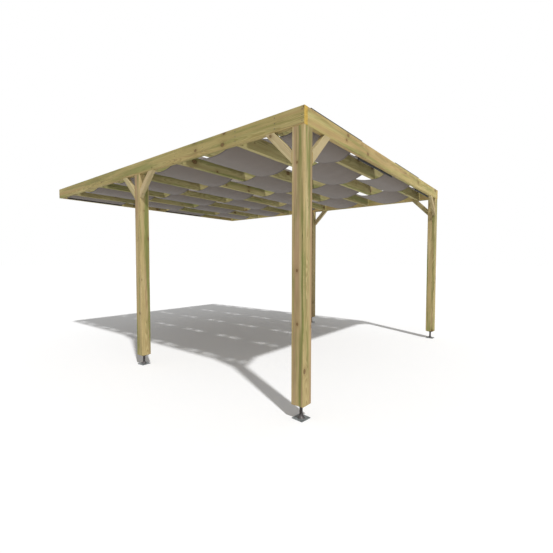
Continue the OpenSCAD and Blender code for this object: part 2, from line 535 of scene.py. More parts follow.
@dataclass(frozen=True)
class CutEndFinish:
    """The sawn end of a pine timber, with its rings and drying cracks."""

    name: str
    early: Colour
    late: Colour
    stain: Colour

    def make(self, effects: EffectShelf) -> bpy.types.Material:
        """Build the material for cut ends."""
        material, w, shader = blank_material(self.name, 0.22)
        place = w.attribute("timber_place").outputs["Vector"]
        board = w.attribute("board_tone").outputs["Fac"]
        figure = w.placed(effects.figure)
        w.feed(figure.inputs["Place"], place)
        w.feed(figure.inputs["Board"], board)
        figure.inputs["Swirl"].default_value = 0.0
        pores = w.cloud(place, 700.0, 2.0)
        damp = w.rise(w.cloud(place, 26.0, 4.0, 0.6), 0.45, 0.72)
        colour = w.blend(w.maths("MULTIPLY", figure.outputs["Ring"], 0.7), self.early, self.late)
        colour = w.blend(w.maths("MULTIPLY", damp, 0.45), colour, self.stain)
        shade = w.scaled(pores, 0.82, 1.15)
        colour = w.blend(1.0, colour, w.join(shade, shade, shade), "MULTIPLY")
        crack = w.cloud(w.stretched(place, (0.1, 30.0, 110.0)), 1.0, 1.0)
        crack = w.maths("ABSOLUTE", w.maths("SUBTRACT", crack, 0.5))
        crack = w.maths("SUBTRACT", 1.0, w.rise(crack, 0.004, 0.016))
        crack = w.maths("MULTIPLY", crack, w.rise(w.cloud(place, 17.0), 0.5, 0.6))
        colour = w.blend(w.maths("MULTIPLY", crack, 0.7), colour, tint(70, 52, 30))
        w.feed(shader.inputs["Base Color"], colour)
        w.feed(shader.inputs["Roughness"], w.scaled(pores, 0.78, 0.95))
        height = w.maths("MULTIPLY_ADD", figure.outputs["Ring"], 0.5, pores)
        bumped(w, shader, w.maths("SUBTRACT", height, crack), 0.0012, 0.6)
        return material


@dataclass(frozen=True)
class SteelFinish:
    """Outdoor steel with a zinc coat.

    Attributes:
        name: The material's name.
        base: Colour of the coat.
        fleck: Colour of its lighter crystals.
        grime: Colour of the dirt in its lows.
        metallic: How much it reflects as bare metal.
        crystals: Crystals to the metre.
    """

    name: str
    base: Colour
    fleck: Colour
    grime: Colour
    metallic: float
    crystals: float

    def make(self, effects: EffectShelf) -> bpy.types.Material:
        """Build the material."""
        material, w, shader = blank_material(self.name, 0.45)
        place = w.add("ShaderNodeTexCoord").outputs["Object"]
        speckle = w.placed(effects.speckle)
        w.feed(speckle.inputs["Place"], place)
        speckle.inputs["Fleck"].default_value = self.crystals
        crystal, grime = speckle.outputs["Crystal"], speckle.outputs["Grime"]
        colour = w.blend(w.maths("MULTIPLY", crystal, 0.6), self.base, self.fleck)
        colour = w.blend(w.maths("MULTIPLY", grime, 0.6), colour, self.grime)
        w.feed(shader.inputs["Base Color"], colour)
        shader.inputs["Metallic"].default_value = self.metallic
        rough = w.maths("MULTIPLY_ADD", grime, 0.25, w.scaled(crystal, 0.38, 0.52))
        w.feed(shader.inputs["Roughness"], rough)
        height = w.maths("MULTIPLY_ADD", speckle.outputs["Grit"], 0.5, w.maths("MULTIPLY", crystal, 0.3))
        bumped(w, shader, height, 0.0006, 0.35)
        return material


@dataclass(frozen=True)
class ClothFinish:
    """Knitted shade cloth.

    Attributes:
        name: The material's name.
        thread: Colour of the thread.
        shadow: Colour between the threads.
        soil: Colour of dust and rain marks.
        pitch: Distance between two chains of stitches.
        stitched: Whether rows of sewing run along the piece.
    """

    name: str
    thread: Colour
    shadow: Colour
    soil: Colour
    pitch: float
    stitched: bool

    def make(self, effects: EffectShelf) -> bpy.types.Material:
        """Build the material."""
        material, w, shader = blank_material(self.name, 0.25)
        shader.inputs["Sheen Weight"].default_value = 0.15
        cloth = w.add("ShaderNodeUVMap", uv_map="Cloth").outputs[0]
        knit = w.placed(effects.knit)
        w.feed(knit.inputs["Cloth"], cloth)
        knit.inputs["Pitch"].default_value = self.pitch
        thread = knit.outputs["Thread"]
        colour = w.blend(w.scaled(thread, 0.25, 1.0), self.shadow, self.thread)
        shade = w.scaled(knit.outputs["Slub"], 0.84, 1.16)
        colour = w.blend(1.0, colour, w.join(shade, shade, shade), "MULTIPLY")
        soil = w.rise(knit.outputs["Soil"], 0.46, 0.72)
        colour = w.blend(w.maths("MULTIPLY", soil, 0.28), colour, self.soil)
        height = w.maths("MULTIPLY_ADD", thread, 0.7, w.maths("MULTIPLY", knit.outputs["Slub"], 0.3))
        if self.stitched:
            u, v, _ = w.split(cloth)
            row = w.maths("PINGPONG", w.maths("SUBTRACT", u, 0.0035), 0.0065)
            row = w.maths("SUBTRACT", 1.0, w.rise(row, 0.0006, 0.0011))
            dash = w.maths("PINGPONG", v, 0.0028)
            dash = w.rise(dash, 0.0006, 0.0011)
            seam = w.maths("MULTIPLY", row, dash)
            colour = w.blend(w.maths("MULTIPLY", seam, 0.7), colour, tint(60, 56, 54))
            height = w.maths("MULTIPLY_ADD", seam, 0.8, height)
        w.feed(shader.inputs["Base Color"], colour)
        w.feed(shader.inputs["Roughness"], w.scaled(thread, 0.95, 0.74))
        bumped(w, shader, height, 0.0007, 0.5)
        return material


@dataclass
class FinishRack:
    """Every finish of the pergola, made once."""

    effects: EffectShelf = field(default_factory=EffectShelf)
    made: dict[str, bpy.types.Material] = field(default_factory=dict)

    def __post_init__(self) -> None:
        """Make the materials."""
        finishes = (
            PineFinish("post_pine", tint(193, 174, 124), tint(148, 122, 74), tint(116, 124, 62),
                       tint(168, 134, 108), tint(214, 198, 154), 0.85, 0.62, 0.8),
            PineFinish("beam_pine", tint(188, 172, 114), tint(144, 122, 68), tint(118, 128, 64),
                       tint(170, 132, 94), tint(206, 192, 136), 0.58, 0.42, 1.1),
            PineFinish("brace_pine", tint(198, 182, 140), tint(156, 132, 88), tint(138, 142, 90),
                       tint(178, 144, 112), tint(214, 200, 158), 0.35, 0.30, 0.7),
            PineFinish("joist_pine", tint(182, 172, 120), tint(136, 124, 74), tint(116, 128, 66),
                       tint(146, 122, 82), tint(198, 188, 134), 0.60, 0.35, 1.25),
            CutEndFinish("pine_cut_end", tint(214, 182, 92), tint(166, 128, 56), tint(140, 118, 60)),
            SteelFinish("foot_zinc", tint(122, 128, 128), tint(156, 160, 160), tint(78, 80, 78), 0.30, 110.0),
            SteelFinish("rod_steel", tint(78, 74, 74), tint(104, 100, 98), tint(50, 46, 44), 0.45, 260.0),
            SteelFinish("screw_zinc", tint(84, 80, 74), tint(128, 124, 114), tint(46, 42, 38), 0.50, 500.0),
            ClothFinish("shade_knit", tint(138, 128, 120), tint(102, 94, 87), tint(126, 115, 101), 0.0032, False),
            ClothFinish("shade_hem", tint(122, 113, 108), tint(90, 82, 78), tint(112, 102, 94), 0.0026, True),
            # The near-black binding is the bound hem; on tucked ends it also paints the shade line at the beam's
            # lower inner edge.
            ClothFinish("end_binding_and_shade_line", tint(40, 42, 44), tint(22, 23, 25), tint(58, 58, 56), 0.0022, True),
        )
        for finish in finishes:
            self.made[finish.name] = finish.make(self.effects)
        log.info("finishes: %d materials", len(self.made))

    def dress(self, piece: bpy.types.Object, *names: str) -> None:
        """Give a piece its material slots, in order."""
        for name in names:
            piece.data.materials.append(self.made[name])


# --------------------------------------------------------------------------
# Mesh helpers
# --------------------------------------------------------------------------


def settled(name: str, bm: bmesh.types.BMesh, smooth: bool = False) -> bpy.types.Object:
    """Turn a finished bmesh into an object at the origin.

    Args:
        name: The piece's name.
        bm: The finished mesh, which is freed.
        smooth: Whether its faces are shaded smooth.

    Returns:
        The new object, linked into the scene.
    """
    for face in bm.faces:
        face.smooth = smooth
    mesh = bpy.data.meshes.new(name)
    bm.to_mesh(mesh)
    bm.free()
    piece = bpy.data.objects.new(name, mesh)
    bpy.context.scene.collection.objects.link(piece)
    return piece


def grown_box(bm: bmesh.types.BMesh, low: Vector, high: Vector) -> list:
    """Add a box between two corners and return its vertices."""
    made = bmesh.ops.create_cube(bm, size=1.0)["verts"]
    bmesh.ops.scale(bm, vec=high - low, verts=made)
    bmesh.ops.translate(bm, vec=(high + low) / 2, verts=made)
    return made


def eased(bm: bmesh.types.BMesh, edges: Iterable, width: float, segments: int) -> None:
    """Round some edges of a mesh."""
    bmesh.ops.bevel(
        bm, geom=list(edges), offset=width, segments=segments,
        profile=0.5, affect="EDGES", material=-1, clamp_overlap=True,
    )


def edges_of(verts: Iterable) -> list:
    """Return the edges that join the given vertices."""
    chosen = set(verts)
    found = {e for v in chosen for e in v.link_edges}
    return [e for e in found if e.verts[0] in chosen and e.verts[1] in chosen]


def faces_of(verts: Iterable) -> list:
    """Return the faces that touch the given vertices."""
    return list({f for v in verts for f in v.link_faces})


def packed_box(node: str) -> tuple[Vector, Vector]:
    """Return a CAD node's lowest and highest corners."""
    low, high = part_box(node)
    return Vector(low), Vector(high)


# --------------------------------------------------------------------------
# Timber
# --------------------------------------------------------------------------


@dataclass(frozen=True)
class TimberAxes:
    """A timber's own directions and middle.

    Attributes:
        along: The way the grain runs.
        wide: One direction across it.
        middle: The timber's middle.
    """

    along: Vector
    wide: Vector
    middle: Vector

    @property
    def thin(self) -> Vector:
        """The other direction across the timber."""
        return self.along.cross(self.wide)


@dataclass
class Carpentry:
    """Makes and dresses every piece of timber.

    Attributes:
        rack: The finishes.
        edge: Rounding of a planed edge.
        post_edge: Rounding of a post's edge.
        drift: Most that a face dips below its nominal plane.
        step: Length between two stations of a long timber.
        board: Number of timbers made so far.
    """

    rack: FinishRack
    edge: float = 0.003
    post_edge: float = 0.007
    drift: float = 0.0011
    step: float = 0.16
    board: int = 0

    def straight(self, node: str, grain: Grain, finish: str, edge: float, slot: str) -> bpy.types.Object:
        """Build a straight timber in the place of its CAD node.

        Args:
            node: The CAD node.
            grain: The way its grain runs.
            finish: Name of its finish.
            edge: Rounding of its edges.
            slot: Not used.

        Returns:
            The finished piece.
        """
        low, high = packed_box(node)
        bm = bmesh.new()
        verts = grown_box(bm, low, high)
        along = Vector(grain.value)
        cuts = max(2, round((high - low).dot(along) / self.step))
        long_edges = [
            e for e in edges_of(verts)
            if abs((e.verts[0].co - e.verts[1].co).normalized().dot(along)) > 0.9
        ]
        eased(bm, long_edges, edge, 3)
        ends = [e for e in bm.edges if self._on_end(e, along, low, high)]
        eased(bm, ends, 0.0012, 1)
        stations = [e for e in bm.edges if abs(self._run(e).dot(along)) > 0.999 and e.calc_length() > 0.05]
        bmesh.ops.subdivide_edges(bm, edges=stations, cuts=cuts, use_grid_fill=True)
        wide = Vector((0, 0, 1)) if grain is not Grain.UP else Vector((1, 0, 0))
        axes = TimberAxes(along, wide, (low + high) / 2)
        self._settle_faces(bm, axes)
        return self._finished(node, bm, axes, finish)

    def brace(self, node: str, finish: str, slot: str, corner: Vector, way: Vector, reach: float,
              inner: float, thick: Vector) -> bpy.types.Object:
        """Build a diagonal brace in the place of its CAD node.

        Args:
            node: The CAD node.
            finish: Name of its finish.
            slot: Not used.
            corner: Where the post's face meets the beam's underside.
            way: Direction from the post along the beam.
            reach: Distance from the corner to the brace's far edge.
            inner: Distance from the corner to its near edge.
            thick: Offset from one side of the brace to the other.

        Returns:
            The finished piece.
        """
        up = Vector((0, 0, 1))
        bm = bmesh.new()
        outline = [
            corner - up * inner, corner - up * reach,
            corner + way * reach, corner + way * inner,
        ]
        face = bm.faces.new([bm.verts.new(p) for p in outline])
        grown = bmesh.ops.extrude_face_region(bm, geom=[face])["geom"]
        moved = [g for g in grown if isinstance(g, bmesh.types.BMVert)]
        bmesh.ops.translate(bm, vec=thick, verts=moved)
        bmesh.ops.recalc_face_normals(bm, faces=bm.faces)
        along = (way + up).normalized()
        long_edges = [e for e in bm.edges if abs(self._run(e).dot(along)) > 0.99]
        eased(bm, long_edges, self.edge, 3)
        middle = corner + (way - up) * (reach + inner) / 4 + thick / 2
        axes = TimberAxes(along, thick.normalized(), middle)
        return self._finished(node, bm, axes, finish)

    def _run(self, edge: bmesh.types.BMEdge) -> Vector:
        """Return an edge's direction."""
        return (edge.verts[1].co - edge.verts[0].co).normalized()

    def _on_end(self, edge: bmesh.types.BMEdge, along: Vector, low: Vector, high: Vector) -> bool:
        """Tell whether an edge lies round an end of a straight timber."""
        if abs(self._run(edge).dot(along)) > 0.1 or len(edge.link_faces) != 2:
            return False
        near = min(abs(edge.verts[0].co.dot(along) - p.dot(along)) for p in (low, high))
        faces = [abs(f.normal.dot(along)) for f in edge.link_faces]
        return near < 1e-5 and max(faces) > 0.9 > min(faces)

    def _settle_faces(self, bm: bmesh.types.BMesh, axes: TimberAxes) -> None:
        """Let the faces of a long timber dip slightly along their length."""
        seed = Vector((self.board * 3.7, self.board * 1.3, 0.0))
        for vert in bm.verts:
            at = vert.co - axes.middle
            run = at.dot(axes.along)
            for n, axis in enumerate((axes.wide, axes.thin)):
                side = at.dot(axis)
                dip = 0.5 + 0.5 * noise.noise(seed + Vector((run * 1.9, math.copysign(4, side), n * 9)))
                vert.co -= axis * math.copysign(self.drift * dip * 0.6, side)

    def _finished(self, node: str, bm: bmesh.types.BMesh, axes: TimberAxes, finish: str) -> bpy.types.Object:
        """Store where each point lies in its board, dress the piece, hide its CAD node and attach it to the root
        body.
        """
        self.board += 1
        shift = self.board * 6.37
        tone = random.Random(self.board * 11).random()
        bm.normal_update()
        for face in bm.faces:
            face.material_index = 1 if abs(face.normal.dot(axes.along)) > 0.55 else 0
        piece = settled(f"{node}_timber", bm)
        mesh = piece.data
        mesh.attributes.new("timber_place", "FLOAT_VECTOR", "POINT")
        mesh.attributes.new("board_tone", "FLOAT", "POINT")
        mesh.attributes.new("face_place", "FLOAT_VECTOR", "CORNER")
        mesh.attributes.new("edge_wear", "FLOAT", "CORNER")
        place, board = mesh.attributes["timber_place"], mesh.attributes["board_tone"]
        faced, wear = mesh.attributes["face_place"], mesh.attributes["edge_wear"]
        for index, vert in enumerate(mesh.vertices):
            at = vert.co - axes.middle
            place.data[index].vector = (at.dot(axes.along) + shift, at.dot(axes.wide), at.dot(axes.thin))
            board.data[index].value = tone
        for polygon in mesh.polygons:
            wide, thin = polygon.normal.dot(axes.wide), polygon.normal.dot(axes.thin)
            on_wide = abs(wide) > abs(thin)
            across = axes.thin if on_wide else axes.wide
            side = (1 if (wide if on_wide else thin) > 0 else 2) + (2 if on_wide else 0)
            rounded = max(abs(wide), abs(thin)) < 0.985
            for corner in polygon.loop_indices:
                at = mesh.vertices[mesh.loops[corner].vertex_index].co - axes.middle
                faced.data[corner].vector = (
                    at.dot(axes.along) + shift, at.dot(across), side + self.board * 4)
                wear.data[corner].value = 1.0 if rounded else 0.0
        self.rack.dress(piece, finish, "pine_cut_end")
        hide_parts(node)
        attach(piece, "root")
        log.info("%s: %d faces", piece.name, len(mesh.polygons))
        return piece


@dataclass
class Frame:
    """The posts, beams and joists."""

    carpentry: Carpentry
    joists: int = 0

    def build(self) -> None:
        """Build every straight timber."""
        c = self.carpentry
        for end in ("front", "rear"):
            for side in ("left", "right"):
                c.straight(f"{end}_{side}_post", Grain.UP, "post_pine", c.post_edge, "post_timber")
        for side in ("left", "right"):
            c.straight(f"{side}_beam", Grain.DEEP, "beam_pine", c.edge, "beam_timber")
        for end in ("front", "wall"):
            c.straight(f"{end}_beam", Grain.ACROSS, "beam_pine", c.edge, "beam_timber")
        self.joists = sum(1 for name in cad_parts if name.startswith("joist_"))
        for number in range(1, self.joists + 1):
            c.straight(f"joist_{number}", Grain.ACROSS, "joist_pine", c.edge, "joist_timber")


@dataclass
class Braces:
    """The eight diagonal braces under the beams."""

    carpentry: Carpentry

    def build(self) -> None:
        """Build the braces on the side beams and the front beam."""
        for side in Side:
            word = side.name.lower()
            self._side_brace(f"front_{word}_brace_back", f"front_{word}_post", 1)
            self._side_brace(f"rear_{word}_brace_front", f"rear_{word}_post", -1)
            self._side_brace(f"rear_{word}_brace_back", f"rear_{word}_post", 1)
            self._front_brace(f"front_{word}_brace_in", f"front_{word}_post", side)

    def _side_brace(self, node: str, post: str, way: int) -> None:
        """Build a brace that runs under a side beam."""
        low, high = packed_box(node)
        post_low, post_high = packed_box(post)
        corner = Vector((low.x, post_high.y if way == 1 else post_low.y, high.z))
        self._make(node, corner, Vector((0, way, 0)), high.z - low.z, Vector((high.x - low.x, 0, 0)))

    def _front_brace(self, node: str, post: str, side: Side) -> None:
        """Build a brace that runs under the front beam."""
        low, high = packed_box(node)
        post_low, post_high = packed_box(post)
        corner = Vector((post_high.x if side is Side.LEFT else post_low.x, low.y, high.z))
        self._make(node, corner, Vector((-side.value, 0, 0)), high.z - low.z, Vector((0, high.y - low.y, 0)))

    def _make(self, node: str, corner: Vector, way: Vector, reach: float, thick: Vector) -> None:
        """Build one brace, whose width across the slope is 70 mm."""
        width = 0.070
        inner = reach - width * math.sqrt(2)
        self.carpentry.brace(node, "brace_pine", "brace_timber", corner, way, reach, inner, thick)


# --------------------------------------------------------------------------
# Feet
# --------------------------------------------------------------------------


@dataclass
class Foot:
    """An adjustable steel foot under a post.

    Attributes:
        name: Which post it carries.
        turn: Turn of its base plate about the rod, in degrees.
        rack: The finishes.
        plate_side: Side of the base plate.
        plate_t: Thickness of the base plate.
        head_side: Side of the plate under the post.
        head_t: Thickness of that plate.
        rod_d: Outer diameter of the threaded rod.
        pitch: Pitch of its thread.
        nut_flats: Width across the flats of a nut.
        nut_h: Height of a nut.
        hole_d: Diameter of a hole in the base plate.
        hole_ring: Diameter of the circle that the holes lie on.
        collar_h: Height of the flared collar on the base plate.
    """

    name: str
    turn: float
    rack: FinishRack
    plate_side: float = 0.110
    plate_t: float = 0.008
    head_side: float = 0.090
    head_t: float = 0.006
    rod_d: float = 0.027
    pitch: float = 0.003
    nut_flats: float = 0.041
    nut_h: float = 0.016
    hole_d: float = 0.012
    hole_ring: float = 0.113
    collar_h: float = 0.036

    def build(self) -> None:
        """Build the plates, the rod, the nuts and the screws."""
        node = f"{self.name}_foot"
        post_low, post_high = packed_box(f"{self.name}_post")
        self.middle = Vector(((post_low.x + post_high.x) / 2, (post_low.y + post_high.y) / 2, 0.0))
        self.top = post_low.z
        plates = self._plates()
        rod = self._rod()
        nuts = self._nuts()
        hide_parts(node)
        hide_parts(node)
        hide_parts(node)
        for piece, finish in ((plates, "foot_zinc"), (rod, "rod_steel"), (nuts, "rod_steel")):
            self.rack.dress(piece, finish)
            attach(piece, "root")
            log.info("%s: %d faces", piece.name, len(piece.data.polygons))

    def _drilled_quarter(self, bm: bmesh.types.BMesh) -> None:
        """Add the quarter of the base plate at +X +Y, with its hole."""
        half = self.plate_side / 2
        count = 32
        at = self.hole_ring / 2 / math.sqrt(2)
        hole = bmesh.ops.create_circle(bm, segments=count, radius=self.hole_d / 2)["verts"]
        rim = bmesh.ops.create_circle(bm, segments=count, radius=half)["verts"]
        bmesh.ops.translate(bm, vec=(at, at, 0), verts=hole)
        for vert in rim:
            reach = half / 2 / max(abs(vert.co.x), abs(vert.co.y))
            vert.co = Vector((vert.co.x * reach + half / 2, vert.co.y * reach + half / 2, 0))
        bmesh.ops.bridge_loops(bm, edges=edges_of(hole) + edges_of(rim))

    def _plates(self) -> bpy.types.Object:
        """Build the drilled base plate and the plate under the post."""
        bm = bmesh.new()
        self._drilled_quarter(bm)
        for axis in ((1, 0, 0), (0, 1, 0)):
            bmesh.ops.mirror(bm, geom=bm.verts[:] + bm.edges[:] + bm.faces[:],
                             merge_dist=0.00005, axis="X" if axis[0] else "Y")
        bmesh.ops.remove_doubles(bm, verts=bm.verts, dist=0.00005)
        bmesh.ops.recalc_face_normals(bm, faces=bm.faces)
        grown = bmesh.ops.extrude_face_region(bm, geom=bm.faces[:])["geom"]
        bmesh.ops.translate(
            bm, vec=(0, 0, self.plate_t), verts=[g for g in grown if isinstance(g, bmesh.types.BMVert)])
        bmesh.ops.recalc_face_normals(bm, faces=bm.faces)
        bm.normal_update()
        sharp = [e for e in bm.edges if len(e.link_faces) == 2 and e.calc_face_angle() > 1.2]
        eased(bm, sharp, 0.0009, 2)
        bmesh.ops.rotate(bm, cent=(0, 0, 0), matrix=Matrix.Rotation(math.radians(self.turn), 3, "Z"), verts=bm.verts)
        half = self.head_side / 2
        head = grown_box(bm, Vector((-half, -half, self.top - self.head_t)), Vector((half, half, self.top)))
        eased(bm, edges_of(head), 0.0009, 2)
        bmesh.ops.translate(bm, vec=self.middle, verts=bm.verts)
        return settled(f"{self.name}_foot_plates", bm)

    def _rod(self) -> bpy.types.Object:
        """Build the rod with its thread, by turning a toothed line once."""
        bm = bmesh.new()
        low, high = self.plate_t * 0.5, self.top - self.head_t * 0.5
        crest, root = self.rod_d / 2, self.rod_d / 2 - 0.0017
        turns = int((high - low) / self.pitch) - 1
        line = [bm.verts.new((0.0, 0.0, low)), bm.verts.new((root, 0.0, low))]
        for k in range(turns):
            z = low + k * self.pitch
            line.append(bm.verts.new((crest, 0.0, z + self.pitch * 0.42)))
            line.append(bm.verts.new((crest, 0.0, z + self.pitch * 0.58)))
            line.append(bm.verts.new((root, 0.0, z + self.pitch)))
        edges = [bm.edges.new(pair) for pair in zip(line, line[1:])]
        bmesh.ops.spin(
            bm, geom=line + edges, cent=(0, 0, 0), axis=(0, 0, 1), angle=2 * math.pi, steps=36,
            dvec=(0, 0, self.pitch / 36), use_merge=False, use_duplicate=False,
        )
        bmesh.ops.remove_doubles(bm, verts=bm.verts, dist=0.00002)
        bmesh.ops.holes_fill(bm, edges=[e for e in bm.edges if e.is_boundary], sides=0)
        bmesh.ops.recalc_face_normals(bm, faces=bm.faces)
        bmesh.ops.translate(bm, vec=self.middle, verts=bm.verts)
        return settled(f"{self.name}_foot_rod", bm, smooth=True)

    def _nuts(self) -> bpy.types.Object:
        """Build the collar, the nut with its washer and the screws into the post."""
        bm = bmesh.new()
        self._collar(bm)
        radius = self.nut_flats / 2 / math.cos(math.pi / 6)
        head = self.top - self.head_t
        self._hexagon(bm, Vector((0, 0, head - self.nut_h)), radius, self.nut_h, 0.0014)
        ring = bmesh.ops.create_cone(
            bm, cap_ends=True, segments=40, radius1=0.026, radius2=0.026, depth=0.003)["verts"]
        bmesh.ops.translate(bm, vec=(0, 0, head - 0.0015), verts=ring)
        for x in (-1, 1):
            for y in (-1, 1):
                at = Vector((x * 0.034, y * 0.034, head - 0.005))
                self._hexagon(bm, at, 0.0075, 0.005, 0.0006)
        bmesh.ops.translate(bm, vec=self.middle, verts=bm.verts)
        return settled(f"{self.name}_foot_nuts", bm)

    def _collar(self, bm: bmesh.types.BMesh) -> None:
        """Add the flared collar that joins the rod to the base plate."""
        wide, narrow, tall, steps = 0.033, self.rod_d / 2 + 0.0012, self.collar_h, 8
        line = [bm.verts.new((0.0, 0.0, self.plate_t))]
        for k in range(steps + 1):
            u = k / steps
            radius = narrow + (wide - narrow) * (1 - u) ** 2.4
            line.append(bm.verts.new((radius, 0.0, self.plate_t + tall * u)))
        line.append(bm.verts.new((0.0, 0.0, self.plate_t + tall)))
        edges = [bm.edges.new(pair) for pair in zip(line, line[1:])]
        bmesh.ops.spin(
            bm, geom=line + edges, cent=(0, 0, 0), axis=(0, 0, 1), angle=2 * math.pi, steps=40,
            use_merge=True, use_duplicate=False)
        bmesh.ops.remove_doubles(bm, verts=bm.verts, dist=0.00002)
        bmesh.ops.recalc_face_normals(bm, faces=bm.faces)

    def _hexagon(self, bm: bmesh.types.BMesh, at: Vector, radius: float, height: float, edge: float) -> None:
        """Add a six-sided nut or head that stands on the given point."""
        made = bmesh.ops.create_cone(
            bm, cap_ends=True, segments=6, radius1=radius, radius2=radius, depth=height)["verts"]
        bmesh.ops.translate(bm, vec=at + Vector((0, 0, height / 2)), verts=made)
        eased(bm, edges_of(made), edge, 2)


# --------------------------------------------------------------------------
# Shade cloth
# --------------------------------------------------------------------------


@dataclass
class ShadeStrip:
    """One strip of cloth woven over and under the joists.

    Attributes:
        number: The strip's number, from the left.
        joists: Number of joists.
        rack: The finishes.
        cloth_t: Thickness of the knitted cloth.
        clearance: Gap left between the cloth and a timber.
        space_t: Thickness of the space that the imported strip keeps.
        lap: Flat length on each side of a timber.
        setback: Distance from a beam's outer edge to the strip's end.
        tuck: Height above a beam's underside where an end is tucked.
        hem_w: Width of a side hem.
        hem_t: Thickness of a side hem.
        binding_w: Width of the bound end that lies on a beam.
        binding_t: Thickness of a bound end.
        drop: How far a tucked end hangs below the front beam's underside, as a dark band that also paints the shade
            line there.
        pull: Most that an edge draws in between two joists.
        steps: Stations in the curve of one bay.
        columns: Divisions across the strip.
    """

    number: int
    joists: int
    rack: FinishRack
    cloth_t: float = 0.0012
    clearance: float = 0.0003
    space_t: float = 0.003
    lap: float = 0.001
    setback: float = 0.004
    tuck: float = 0.020
    hem_w: float = 0.020
    hem_t: float = 0.0024
    binding_w: float = 0.030
    binding_t: float = 0.012
    drop: float = 0.020
    pull: float = 0.006
    steps: int = 18
    columns: int = 56

    def build(self) -> None:
        """Build the strip, its side hems and its bound ends."""
        node = f"shade_strip_{self.number}"
        low, high = packed_box(node)
        self.x0, self.x1 = low.x, high.x
        self.path = self._path()
        self.arc = [0.0]
        for a, b in zip(self.path, self.path[1:]):
            self.arc.append(self.arc[-1] + math.dist(a[:2], b[:2]))
        cloth = self._laid(f"{node}_cloth", self.x0 + 0.004, self.x1 - 0.004, self.columns, self.cloth_t)
        left = self._laid(f"{node}_left_hem", self.x0, self.x0 + self.hem_w, 3, self.hem_t)
        right = self._laid(f"{node}_right_hem", self.x1 - self.hem_w, self.x1, 3, self.hem_t)
        front = self._binding(f"{node}_front_binding", self._hold(0), "front_beam", 1)
        back = self._binding(f"{node}_wall_binding", self._hold(self.joists + 1), "wall_beam", -1)
        self.rack.dress(cloth, "shade_knit")
        for hem in (left, right):
            self.rack.dress(hem, "shade_hem")
        for binding in (front, back):
            self.rack.dress(binding, "end_binding_and_shade_line")
        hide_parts(node)
        for piece in (cloth, left, right, front, back):
            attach(piece, "root")
            log.info("%s: %d faces", piece.name, len(piece.data.polygons))

    def _hold(self, support: int) -> Hold:
        """Tell how the strip passes a support; 0 is the front beam."""
        return Hold.OVER if (self.number + support) % 2 == 1 else Hold.UNDER

    def _bay(self, y0: float, z0: float, y1: float, z1: float) -> list:
        """Return the stations of a sagging bay, which is level at its lower end."""
        stations = []
        for k in range(self.steps + 1):
            u = k / self.steps
            y = y0 + u * (y1 - y0)
            v = u if z0 < z1 else 1 - u
            z = min(z0, z1) + abs(z1 - z0) * v * v
            stations.append((y, z, math.sin(math.pi * u)))
        return stations

    def _path(self) -> list:
        """Return (y, z, slack) stations from the front end to the wall end."""
        half = self.clearance + self.space_t / 2
        front_low, front_high = packed_box("front_beam")
        wall_low, wall_high = packed_box("wall_beam")
        on_beam = front_high.z + half
        boxes = [packed_box(f"joist_{n}") for n in range(1, self.joists + 1)]
        level = [
            high.z + half if self._hold(n + 1) is Hold.OVER else low.z - half
            for n, (low, high) in enumerate(boxes)
        ]
        first_y = boxes[0][0].y - self.lap
        last_y = boxes[-1][1].y + self.lap
        tucked = front_low.z + self.tuck
        if self._hold(0) is Hold.OVER:
            path = [(front_low.y + self.setback, on_beam, 0.0)]
            path += self._bay(front_high.y + self.lap, on_beam, first_y, level[0])
        else:
            path = self._bay(front_high.y + self.clearance, tucked, first_y, level[0])
        for n in range(self.joists - 1):
            y0, y1 = boxes[n][1].y + self.lap, boxes[n + 1][0].y - self.lap
            path += self._bay(y0, level[n], y1, level[n + 1])
        if self._hold(self.joists + 1) is Hold.OVER:
            path += self._bay(last_y, level[-1], wall_low.y - self.lap, on_beam)
            path.append((wall_high.y - self.setback, on_beam, 0.0))
        else:
            path += self._bay(last_y, level[-1], wall_low.y - self.clearance, tucked)
        return path

    def _laid(self, name: str, x0: float, x1: float, columns: int, thick: float) -> bpy.types.Object:
        """Lay a sheet along the strip's path.

        Args:
            name: The piece's name.
            x0: Where its left edge runs.
            x1: Where its right edge runs.
            columns: Divisions across it.
            thick: Its thickness.

        Returns:
            The sheet, with a UV map in metres.
        """
        rows = len(self.path) - 1
        bm = bmesh.new()
        uv = bm.loops.layers.uv.new("Cloth")
        bmesh.ops.create_grid(bm, x_segments=columns, y_segments=rows, size=0.5)
        flat = {v: (v.co.x + 0.5, v.co.y + 0.5) for v in bm.verts}
        for face in bm.faces:
            for loop in face.loops:
                across, down = flat[loop.vert]
                loop[uv].uv = (across * (x1 - x0), self.arc[round(down * rows)])
        for vert, (across, down) in flat.items():
            x = x0 + across * (x1 - x0)
            vert.co = self._point(x, self.path[round(down * rows)])
        bm.normal_update()
        piece = settled(name, bm, smooth=True)
        shell = piece.modifiers.new("cloth thickness", "SOLIDIFY")
        shell.thickness = thick
        shell.offset = 0.0
        return piece

    def _point(self, x: float, station: tuple) -> Vector:
        """Return a point of the cloth, drawn in and rippled between the joists."""
        y, z, slack = station
        middle = (self.x0 + self.x1) / 2
        share = (x - middle) / ((self.x1 - self.x0) / 2)
        drawn = self.pull * slack * slack * abs(share) ** 3
        ripple = noise.noise(Vector((x * 6.5, y * 1.6, self.number * 5.0))) * 0.0045
        ripple += noise.noise(Vector((x * 21.0, y * 2.4, self.number * 9.0))) * 0.0014
        curl = 0.004 * abs(share) ** 6 * noise.noise(Vector((y * 3.0, self.number * 2.0, share)))
        return Vector((x - math.copysign(drawn, share), y, z + slack * slack * (ripple + curl)))

